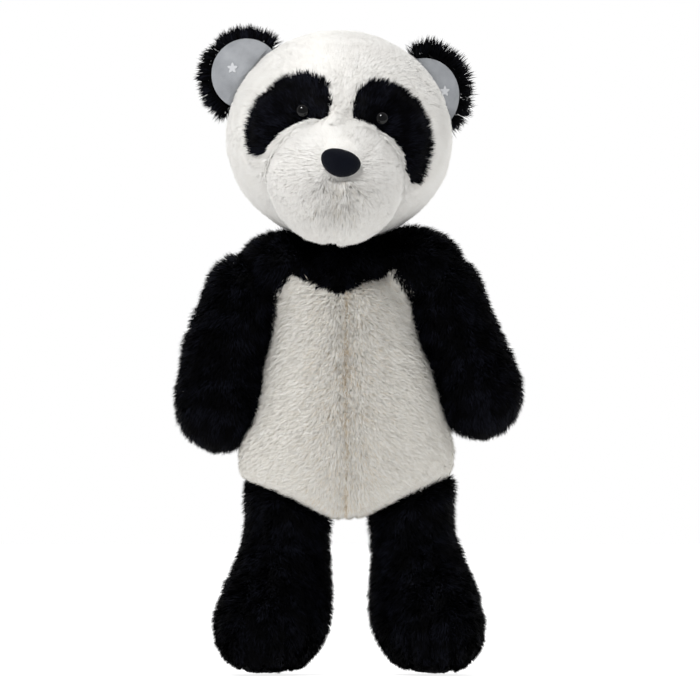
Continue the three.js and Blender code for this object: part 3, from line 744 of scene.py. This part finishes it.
nose_tip = middle_of("nose")
head_middle = middle_of("head_stuffing")
muzzle_middle = middle_of("muzzle_stuffing")
eyes = {side: middle_of(f"eye_{side}") for side in SIDES}
belly_x = (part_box("belly_panel_right")[1].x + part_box("belly_panel_left")[0].x) / 2
toe_line = middle_of("torso_stuffing")[1] - TOES_FROM
hip_middle = {side: np.array(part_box(f"hip_stuffing_{side}")).mean(0) for side in SIDES}
down, out_x = np.array([0, 0, -1.0]), np.array([1.0, 0, 0])


def from_nose(p):
    """Away from the nose on all sides."""
    return unit(p - nose_tip)


def near(p, centre, clear, far):
    """0 within clear of a centre in the front view, rising to 1 at far."""
    away = np.linalg.norm((p - centre)[:, [0, 2]], axis=1)
    t = np.clip((away - clear) / (far - clear), 0, 1)
    return t * t * (3 - 2 * t)


def face_length(p, size):
    """Shorter pile round the eyes and beside the nose."""
    share = np.ones(len(p))
    for centre in eyes.values():
        share *= 0.3 + 0.7 * near(p, centre, *EYE_CLEARING)
    share *= 0.4 + 0.6 * near(p, nose_tip + NOSE_CLEARING_LIFT, *NOSE_CLEARING)
    return size * share


class Pile:
    """How the fibres of one panel grow: length in metres, width in millimetres, lean in degrees."""

    def __init__(self, kind, flow, length, per_mm2, width, lean, tuft, rough=0.12):
        self.kind = kind
        self.flow = flow
        self.length = length
        self.per_mm2 = per_mm2
        self.width = width
        self.lean = lean
        self.tuft = tuft
        self.rough = rough


def value_at(setting, p):
    """A setting of a pile is a constant, or a function of the place."""
    return setting(p) if callable(setting) else setting


def grow_pile(form, styles, hidden=None):
    """One piece of pile for each panel in styles, named after the panel."""
    most = max(s.per_mm2 for s in styles.values())
    place, normal = sampled(form.mesh, most * THINNER)
    owner = form.nearest(place)
    made = {}
    for panel, style in styles.items():
        keep = owner == form.panels.index(panel)
        keep &= random.random(len(place)) < style.per_mm2 / most
        if hidden is not None:
            keep &= ~hidden(place, normal)
        p, n = place[keep], normal[keep]
        made[panel] = fibres(
            f"pile_{panel}", p, n, style.flow(p), style.kind, value_at(style.length, p),
            style.width * MM, value_at(style.lean, p), value_at(style.tuft, p), style.rough,
            SHADES.get(style.kind, plain_shade)(p),
        )
    return made


def face_flow(p):
    """Away from the middle of the face, and a little down."""
    return unit(p - (muzzle_middle + PARTING)) + 0.3 * down


def chin_flow(p):
    """Away from the nose, and a little down."""
    return from_nose(p) + 0.25 * down


def chin_share(p):
    """1 a little below the nose, 0 towards the cheeks."""
    away = np.linalg.norm((p - nose_tip)[:, [0, 2]] - CHIN_MIDDLE, axis=1)
    return np.exp(-((away / CHIN_RADIUS) ** 2))


def chin_tuft(p):
    """Clumped in the middle of the chin."""
    return 0.08 + 0.8 * chin_share(p)[:, None]


def chin_length(p):
    """Longest in the middle of the chin."""
    return face_length(p, FACE_LENGTH["muzzle"] + CHIN_EXTRA * chin_share(p))


def chin_shade(p):
    """Creamier in the middle of the chin, and creamier still along its seam, where darker fibres are
    painted shade of the seam's crease.
    """
    # painted shade of the seam's crease, darkest on its line
    crease_shade = np.exp(-(((p[:, 0] - nose_tip[0] - CHIN_CREASE_SHADE["across"]) / CHIN_CREASE_SHADE["width"]) ** 2))
    return 0.25 + chin_share(p) * (0.28 + 0.22 * crease_shade + 0.3 * noise(p, 4 * MM)[:, 1])


def chin_lean(p):
    """Standing up more in the middle of the chin."""
    return 58 - 15 * chin_share(p)


def belly_flow(p):
    """Away from the middle seam, and down."""
    sideways = np.clip((p[:, :1] - belly_x) / BELLY_MIDDLE_HALF, -1, 1)
    return 0.6 * down + 0.9 * sideways * out_x


def belly_lean(p):
    """The pile stands up in the middle of the belly and lies down towards its sides."""
    return 42 + 22 * np.clip(np.abs(p[:, 0] - belly_x) / (36 * MM), 0, 1)


def belly_tuft(p):
    """Rougher in the middle than at the sides."""
    return 0.28 - 0.2 * np.clip(np.abs(p[:, :1] - belly_x) / BELLY_MIDDLE_HALF, 0, 1)


def above_hips(p):
    """Height over the nearer hip seam."""
    heights = []
    for joint in frame["joints"]:
        if joint["name"].startswith("hip_twist"):
            axis = unit(np.array(joint["axis"]))
            heights.append((p - joint["pos_m"]) @ (axis * np.sign(axis[2])))
    return np.minimum(*heights)


def yoke_flow(p):
    """Down, and over the shoulders."""
    sideways = np.clip((p[:, :1] - belly_x) / (50 * MM), -1, 1)
    return down + 0.6 * sideways * out_x


def belly_length(p):
    """Shorter towards the hip seams."""
    return (3.5 + 3 * np.clip(above_hips(p) / (16 * MM), 0, 1)) * MM


def tail_flow(p):
    """As on the belly, and backwards."""
    return belly_flow(p) + (0, 1, 0)


def sole_flow(p):
    """Forwards."""
    return np.tile([0, -1.0, 0], (len(p), 1))


def arm_flow(sign):
    """Down and a little away from the body."""
    return lambda p: np.tile(down + 0.15 * sign * out_x, (len(p), 1))


def leg_flow(p):
    """Down, and forwards over the toes."""
    toes = np.clip((45 * MM - p[:, 2:]) / (30 * MM), 0, 1)
    return down + toes * np.array([0, -0.8, 0])


def leg_lean(p):
    """Upright in the hip seam."""
    return 34 - 26 * np.clip(1 + above_hips(p) / (12 * MM), 0, 1)


def leg_length(foot_x):
    """Shorter under the foot, and along the three seams between the toes."""

    def length(p):
        share = 0.45 + 0.55 * np.clip(p[:, 2] / (24 * MM), 0, 1)
        toes = (p[:, 2] < TOE_SEAM_TOP) & (p[:, 1] < toe_line)
        for line in TOE_SEAMS:
            share *= 1 - 0.75 * toes * np.exp(-(((p[:, 0] - foot_x - line) / TOE_SEAM_WIDTH) ** 2))
        return BLACK_LENGTH * share

    return length


def belly_shade(p):
    """Creamy at the sides, with tan fibres scattered down the middle, and darker fibres along the middle
    seam as painted shade of its groove.
    """
    side = np.abs(p[:, 0] - belly_x) / TAN_HALF
    # darker fibres on the seam line are painted shade of its groove
    seam_shade = np.abs(p[:, 0] - belly_x) < SEAM_SHADE_HALF
    tan = np.clip(1.05 - side, 0, 1) * (0.55 + 0.45 * noise(p, 9 * MM)[:, 2])
    fleck = 0.3 * np.clip(tan, 0, 1) * (noise(p + 0.3, FLECK)[:, 0] > 0.15)
    return 0.25 + 0.16 * tan + fleck + 0.5 * seam_shade


def plain_shade(p):
    """Any tone of a kind, in soft patches."""
    return 0.5 + 0.45 * noise(p, 5 * MM)[:, 0]


SHADES = {"belly": belly_shade, "chin": chin_shade}

white_face = {"per_mm2": 5.5, "width": 0.4, "lean": 64, "tuft": 0.05, "rough": 0.05}
white_back = {"per_mm2": 2.4, "width": 0.6, "lean": 60, "tuft": 0.15, "rough": 0.07}
black_patch = {"per_mm2": 3.2, "width": 0.55, "lean": 44, "tuft": 0.45}
long_chin = {"per_mm2": 5.5, "width": 0.4, "lean": chin_lean, "tuft": chin_tuft, "rough": 0.07}
fine_belly = {"per_mm2": 5, "width": 0.4, "lean": belly_lean, "tuft": belly_tuft, "rough": 0.2}
plain_back = {"per_mm2": 2.6, "width": 0.6, "lean": 50, "tuft": 0.45}
black = {"per_mm2": 2.4, "width": 0.65, "lean": 34, "tuft": 0.6}
black_leg = {**black, "lean": leg_lean}
black_sole = {"per_mm2": 1.2, "width": 0.7, "lean": 75, "tuft": 0.5}
black_ear = {"per_mm2": 2.8, "width": 0.65, "lean": 50, "tuft": 0.5}
loose_tail = {"per_mm2": 2.0, "width": 0.75, "lean": 50, "tuft": 0.5}


def cleared(part):
    """The pile length of a part of the face that has an eye or the nose in it."""
    return lambda p: face_length(p, FACE_LENGTH[part])


head_styles = {
    "forehead_panel": Pile("white", face_flow, cleared("forehead"), **white_face),
    "muzzle_top_panel": Pile("white", from_nose, cleared("muzzle"), **white_face),
}
for side in SIDES:
    head_styles[f"cheek_panel_{side}"] = Pile("white", face_flow, FACE_LENGTH["cheek"], **white_face)
    head_styles[f"head_back_{side}"] = Pile("white", face_flow, FACE_LENGTH["cheek"], **white_back)
    head_styles[f"eye_patch_{side}"] = Pile("black", from_nose, cleared("patch"), **black_patch)
    head_styles[f"muzzle_side_{side}"] = Pile("chin", chin_flow, chin_length, **long_chin)

torso_styles = {
    "chest_yoke": Pile("black", yoke_flow, YOKE_LENGTH, **black),
    "back_yoke": Pile("black", yoke_flow, YOKE_LENGTH, **black),
}
for side in SIDES:
    torso_styles[f"belly_panel_{side}"] = Pile("belly", belly_flow, belly_length, **fine_belly)
    torso_styles[f"back_panel_{side}"] = Pile("belly", belly_flow, belly_length, **plain_back)


def under_torso(p, n):
    """The underside of the torso, where it is sewn to the legs."""
    covered = np.zeros(len(p), bool)
    for centre in hip_middle.values():
        covered |= np.linalg.norm((p - centre)[:, :2], axis=1) < HIP_SEAM_RADIUS
    return covered & (n[:, 2] < -0.7)


def leg_top(p, n):
    """The end of a leg, which its hip seam hides."""
    return (n[:, 2] > 0.75) & (p[:, 2] > LEG_TOP_HIDDEN)


pieces = grow_pile(FORMS["head"], head_styles)
pieces |= grow_pile(FORMS["torso"], torso_styles, under_torso)
pieces |= grow_pile(FORMS["tail"], {"tail": Pile("belly", tail_flow, TAIL_LENGTH, **loose_tail)})
for side, sign in SIDES.items():
    arm = Pile("black", arm_flow(sign), BLACK_LENGTH, **black)
    pieces |= grow_pile(FORMS[f"arm_{side}"], {f"arm_front_{side}": arm, f"arm_back_{side}": arm})
    leg = Pile("black", leg_flow, leg_length(middle_of(f"sole_{side}")[0]), **black_leg)
    sole = Pile("black", sole_flow, SOLE_LENGTH, **black_sole)
    styles = {f"leg_outer_{side}": leg, f"leg_inner_{side}": leg, f"sole_{side}": sole}
    pieces |= grow_pile(FORMS[f"leg_{side}"], styles, leg_top)


# ---------- ears ----------
def disc_frame(name):
    """Centre, outward direction, sideways direction, forward normal and radius of a disc-shaped node,
    from how far it reaches in a fan of directions round its outer rim."""
    points = node_points(name)
    normal = np.linalg.svd(points - points.mean(0))[2][2]
    normal *= -np.sign(normal[1])
    outward = points.mean(0) - head_middle
    outward = unit(outward - outward @ normal * normal)
    across = np.cross(normal, outward)
    fan = np.radians(np.arange(-50, 51, 10))
    rows = np.stack([np.cos(fan), np.sin(fan), np.ones(len(fan))], axis=1)
    reach = (points @ (rows[:, :2] @ np.array([outward, across])).T).max(0)
    along, sideways, radius = np.linalg.lstsq(rows, reach, rcond=None)[0]
    centre = along * outward + sideways * across + (points.mean(0) @ normal) * normal
    return centre, outward, across, normal, radius


def polar_sheet(centre, outward, across, radius_at, tree, normal, lift, turns=72, rings=9):
    """A disc of fabric laid on a surface: rings of points dropped on it along the normal."""
    places = [centre]
    for ring in range(1, rings + 1):
        for turn in range(turns):
            a = 2 * math.pi * turn / turns
            r = radius_at(a) * ring / rings
            places.append(centre + r * (math.cos(a) * outward + math.sin(a) * across))
    dropped = []
    for i, place in enumerate(places):
        start = place + normal * 40 * MM
        hit = tree.ray_cast(start.tolist(), (-normal).tolist())[0]
        inner = dropped[max(0, i - turns)] if dropped else place
        height = (np.array(hit) @ normal + lift) if hit else inner @ normal
        dropped.append(place + (height - place @ normal) * normal)
    faces = [(0, 1 + t, 1 + (t + 1) % turns) for t in range(turns)]
    for ring in range(rings - 1):
        start = 1 + ring * turns
        for t in range(turns):
            u = (t + 1) % turns
            faces.append((start + t, start + turns + t, start + turns + u, start + u))
    return dropped, faces


def closed_sheet(name, points, faces, thickness, cloth, normal):
    """A piece of cloth whose outside faces along the normal."""
    mesh = mesh_from(name, points, faces)
    if mesh.polygons[0].normal.dot(Vector(normal)) < 0:
        mesh.flip_normals()
    mesh.materials.append(cloth)
    obj = add(name, mesh)
    with_modifier(obj, "SOLIDIFY", thickness=thickness, offset=-1)
    return obj


def even_radius(size):
    """The outline of a round disc."""
    return lambda a: size


def star_radius(size):
    """The outline of a star with five points."""

    def at(a):
        turn = (a / (2 * math.pi) * 5) % 1
        return size * (1 - 0.56 * (1 - abs(2 * turn - 1)))

    return at


def make_ear(side):
    """The pile of an ear, its lining, and the star sewn on that."""
    form = FORMS[f"ear_{side}"]
    centre, outward, across, normal, radius = disc_frame(f"ear_back_{side}")
    faces = [tuple(p.vertices) for p in form.mesh.polygons]
    tree = BVHTree.FromPolygons(coordinates(form.mesh).tolist(), faces)
    lining_radius = LINING_SHARE[side] * radius

    def in_plane(offset):
        """The place across and up from the ear's middle, in the ear's own plane."""
        into_view = -(offset[0] * normal[0] + offset[1] * normal[2]) / normal[1]
        return centre + (offset[0], into_view, offset[1])

    lining_middle = in_plane(LINING_AT[side])

    def under_lining(p, n):
        flat = (p - lining_middle) - ((p - lining_middle) @ normal)[:, None] * normal
        return (np.linalg.norm(flat, axis=1) < lining_radius - HEM) & (n @ normal > 0.1)

    ear_pile = Pile("black", lambda p: p - centre, EAR_PILE[side], **black_ear)
    pile = grow_pile(form, {f"ear_back_{side}": ear_pile}, under_lining)
    lining_shape = polar_sheet(
        lining_middle, outward, across, even_radius(lining_radius), tree, normal, LINING_LIFT
    )
    lining = closed_sheet(f"lining_cloth_{side}", *lining_shape, LINING_THICKNESS, SATIN, normal)
    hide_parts(f"ear_lining_{side}")
    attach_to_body(lining, f"ear_{side}")
    up = unit(np.array([0, 0, 1.0]) - normal[2] * normal)
    right = np.cross(up, normal)
    star_shape = polar_sheet(
        in_plane(STAR_AT[side]), up, right, star_radius(STAR_SIZE), tree, normal, STAR_LIFT, 40, 3
    )
    star = closed_sheet(f"ear_star_{side}", *star_shape, STAR_THICKNESS, STAR, normal)
    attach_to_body(star, f"ear_{side}")
    return pile


for side in SIDES:
    pieces |= make_ear(side)


# ---------- cloth panels, fillings, and what each piece rides on ----------
BLACK_PANELS = ("eye_patch", "chest", "back_yoke", "arm", "leg", "sole", "ear_back")


def cover_kind(panel):
    """Which cloth a panel is cut from."""
    if panel.startswith(BLACK_PANELS):
        return "black"
    return "belly" if panel.startswith(("belly", "back_panel", "tail")) else "white"


def attach(obj, node):
    """Rides with the node's body. Leg pieces are instead left on no body, their transform baked into the
    mesh.
    """
    body = body_of_node[node]
    if body.startswith("leg_"):
        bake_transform(obj)
    else:
        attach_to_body(obj, body)


for form in FORMS.values():
    for panel in form.panels:
        if panel.startswith("ear_lining"):
            continue
        kind = cover_kind(panel)
        cover = form.cover(f"cloth_{panel}", panel, CLOTH[kind])
        attach(cover, panel)
for panel, obj in pieces.items():
    attach(obj, panel)


def hidden_pad(name, node, depth=PAD_DEPTH["limb"]):
    """A small pillow of fibre inside a joint, in place of its plain CAD solid."""
    middle, axes, half = axes_of(node)
    half = half * (PAD_SHARE, PAD_SHARE, depth)
    mesh = egg((0, 0, 0), half, 32)
    set_coordinates(mesh, coordinates(mesh) @ axes + middle)
    mesh.materials.append(FILL)
    pad = add(name, mesh)
    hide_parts(node)
    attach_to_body(pad, body_of_node[node])


hidden_pad("neck_filling", "neck_stuffing", PAD_DEPTH["neck"])
for side in SIDES:
    hidden_pad(f"shoulder_pad_{side}", f"shoulder_stuffing_{side}")
    hidden_pad(f"hip_pad_{side}", f"hip_stuffing_{side}")

attach(FORMS["head"].filling("head_filling", "head_stuffing", "muzzle_stuffing"), "head_stuffing")
attach(FORMS["torso"].filling("torso_filling", "torso_stuffing"), "torso_stuffing")
for side in SIDES:
    for limb in ("arm", "leg"):
        node = f"{limb}_stuffing_{side}"
        attach(FORMS[f"{limb}_{side}"].filling(f"{limb}_filling_{side}", node), node)
# the whole forms are not pieces themselves
for form in FORMS.values():
    bpy.data.objects.remove(form.obj)


# ---------- nose and eyes ----------
def make_nose():
    """A small stuffed cushion of satin, wider at the top than at the bottom."""
    middle, axes, half = axes_of("nose")
    axes = axes * np.sign([axes[0][0], axes[1][2], axes[2][1]])[:, None]
    bm = bmesh.new()
    bmesh.ops.create_uvsphere(bm, u_segments=48, v_segments=32, radius=1)
    for v in bm.verts:
        x, y, z = v.co
        # across, up and forward, a little squarer than a ball
        x, y, z = (math.copysign(abs(value) ** 0.9, value) for value in (x, z, y))
        x *= 1 + 0.16 * y - 0.1 * y * y
        v.co = Vector(middle + half[0] * x * axes[0] + half[1] * y * axes[1] + half[2] * z * axes[2])
    nose = smooth_piece(bm, "nose_cushion", NOSE)
    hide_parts("nose")
    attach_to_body(nose, "head")


def make_eye(side):
    """A domed plastic eye with its shank, turned round an axis along Y."""
    low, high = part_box(f"eye_{side}")
    middle = (low + high) / 2
    radius = (high.x - low.x) / 2
    back = low.y + EYE_BACK * radius
    bend = radius / math.sin(DOME_ANGLE)
    profile = [(0, low.y)]
    steps = 10
    for i in range(1, steps + 1):
        a = DOME_ANGLE * i / steps
        profile.append((bend * math.sin(a), low.y + bend * (1 - math.cos(a))))
    profile += [(radius, back), (SHANK_RADIUS, back), (SHANK_RADIUS, high.y), (0, high.y)]
    bm = bmesh.new()
    line = [bm.verts.new((middle.x + r, y, middle.z)) for r, y in profile]
    edges = [bm.edges.new(pair) for pair in zip(line, line[1:])]
    bmesh.ops.spin(
        bm, geom=line + edges, cent=(middle.x, 0, middle.z), axis=(0, 1, 0), angle=2 * math.pi,
        steps=32, use_merge=True,
    )
    bmesh.ops.remove_doubles(bm, verts=bm.verts, dist=WELD)
    eye = smooth_piece(bm, f"eye_button_{side}", EYE)
    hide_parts(f"eye_{side}")
    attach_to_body(eye, "head")


make_nose()
for side in SIDES:
    make_eye(side)

# ---------- CAD nodes that stay as they are ----------
for name, finish in {
    "neck_cover": CLOTH["black"],
    "neck_seam": THREAD,
    "care_label": LABEL,
    **{f"eye_washer_{s}": WASHER for s in SIDES},
}.items():
    nodes[name].data.materials.clear()
    nodes[name].data.materials.append(finish)

# ---------- stage, light and camera ----------
VIEW_SHIFT = 5.3 * MM  # from the neck to the middle of the picture
VIEW_HEIGHT = 189 * MM
VIEW_WIDTH = 407 * MM
VIEW_DISTANCE = 6.0
SENSOR = 36
FLOOR_GREY = (0.45, 0.45, 0.45)
FLOOR_CORNERS = [(-4, -0.5, 0), (4, -0.5, 0), (4, 4, 0), (-4, 4, 0)]
ROOM_FADE = {"From Min": -0.75, "From Max": 0.1, "To Min": 0.4, "To Max": 1.0}
KEY_LIGHT = {"place": (-0.5, -1.4, 1.5), "size": 0.5, "watts": 25, "target": (0, 0, 0.2)}


def make_floor():
    """A pale floor under and behind the toy."""
    floor = add("floor", mesh_from("floor", FLOOR_CORNERS, [(0, 1, 2, 3)]))
    glow = {"Emission_Color": (1, 1, 1, 1), "Emission_Strength": 0.8}
    floor.data.materials.append(material("pale_floor", FLOOR_GREY, 0.9, **glow))


def make_room():
    """White all round, dimmer in front of the toy than behind it."""
    world = bpy.data.worlds.new("studio")
    world.use_nodes = True
    tree = world.node_tree
    background = tree.nodes["Background"]
    background.inputs["Color"].default_value = (1, 1, 1, 1)
    sky = tree.nodes.new("ShaderNodeTexCoord")
    split = tree.nodes.new("ShaderNodeSeparateXYZ")
    fade = tree.nodes.new("ShaderNodeMapRange")
    for key, value in ROOM_FADE.items():
        fade.inputs[key].default_value = value
    tree.links.new(sky.outputs["Generated"], split.inputs["Vector"])
    tree.links.new(split.outputs["Y"], fade.inputs["Value"])
    tree.links.new(fade.outputs["Result"], background.inputs["Strength"])
    scene.world = world


def softbox(name, place, size, watts, target):
    """A round soft light that points at the target."""
    light = bpy.data.lights.new(name, "AREA")
    light.shape = "DISK"
    light.size = size
    light.energy = watts
    obj = bpy.data.objects.new(name, light)
    scene.collection.objects.link(obj)
    obj.location = place
    obj.rotation_euler = (Vector(target) - Vector(place)).to_track_quat("-Z", "Y").to_euler()


def make_camera():
    """Level with the middle of the toy, and far away."""
    data = bpy.data.cameras.new("camera")
    data.sensor_width = SENSOR
    data.lens = SENSOR * VIEW_DISTANCE / VIEW_WIDTH
    camera = bpy.data.objects.new("camera", data)
    camera.location = (middle_of("neck_stuffing")[0] + VIEW_SHIFT, -VIEW_DISTANCE, VIEW_HEIGHT)
    camera.rotation_euler = (math.pi / 2, 0, 0)
    scene.collection.objects.link(camera)
    return camera


make_floor()
make_room()
softbox("key", **KEY_LIGHT)
scene.camera = make_camera()
scene.view_settings.view_transform = "Standard"
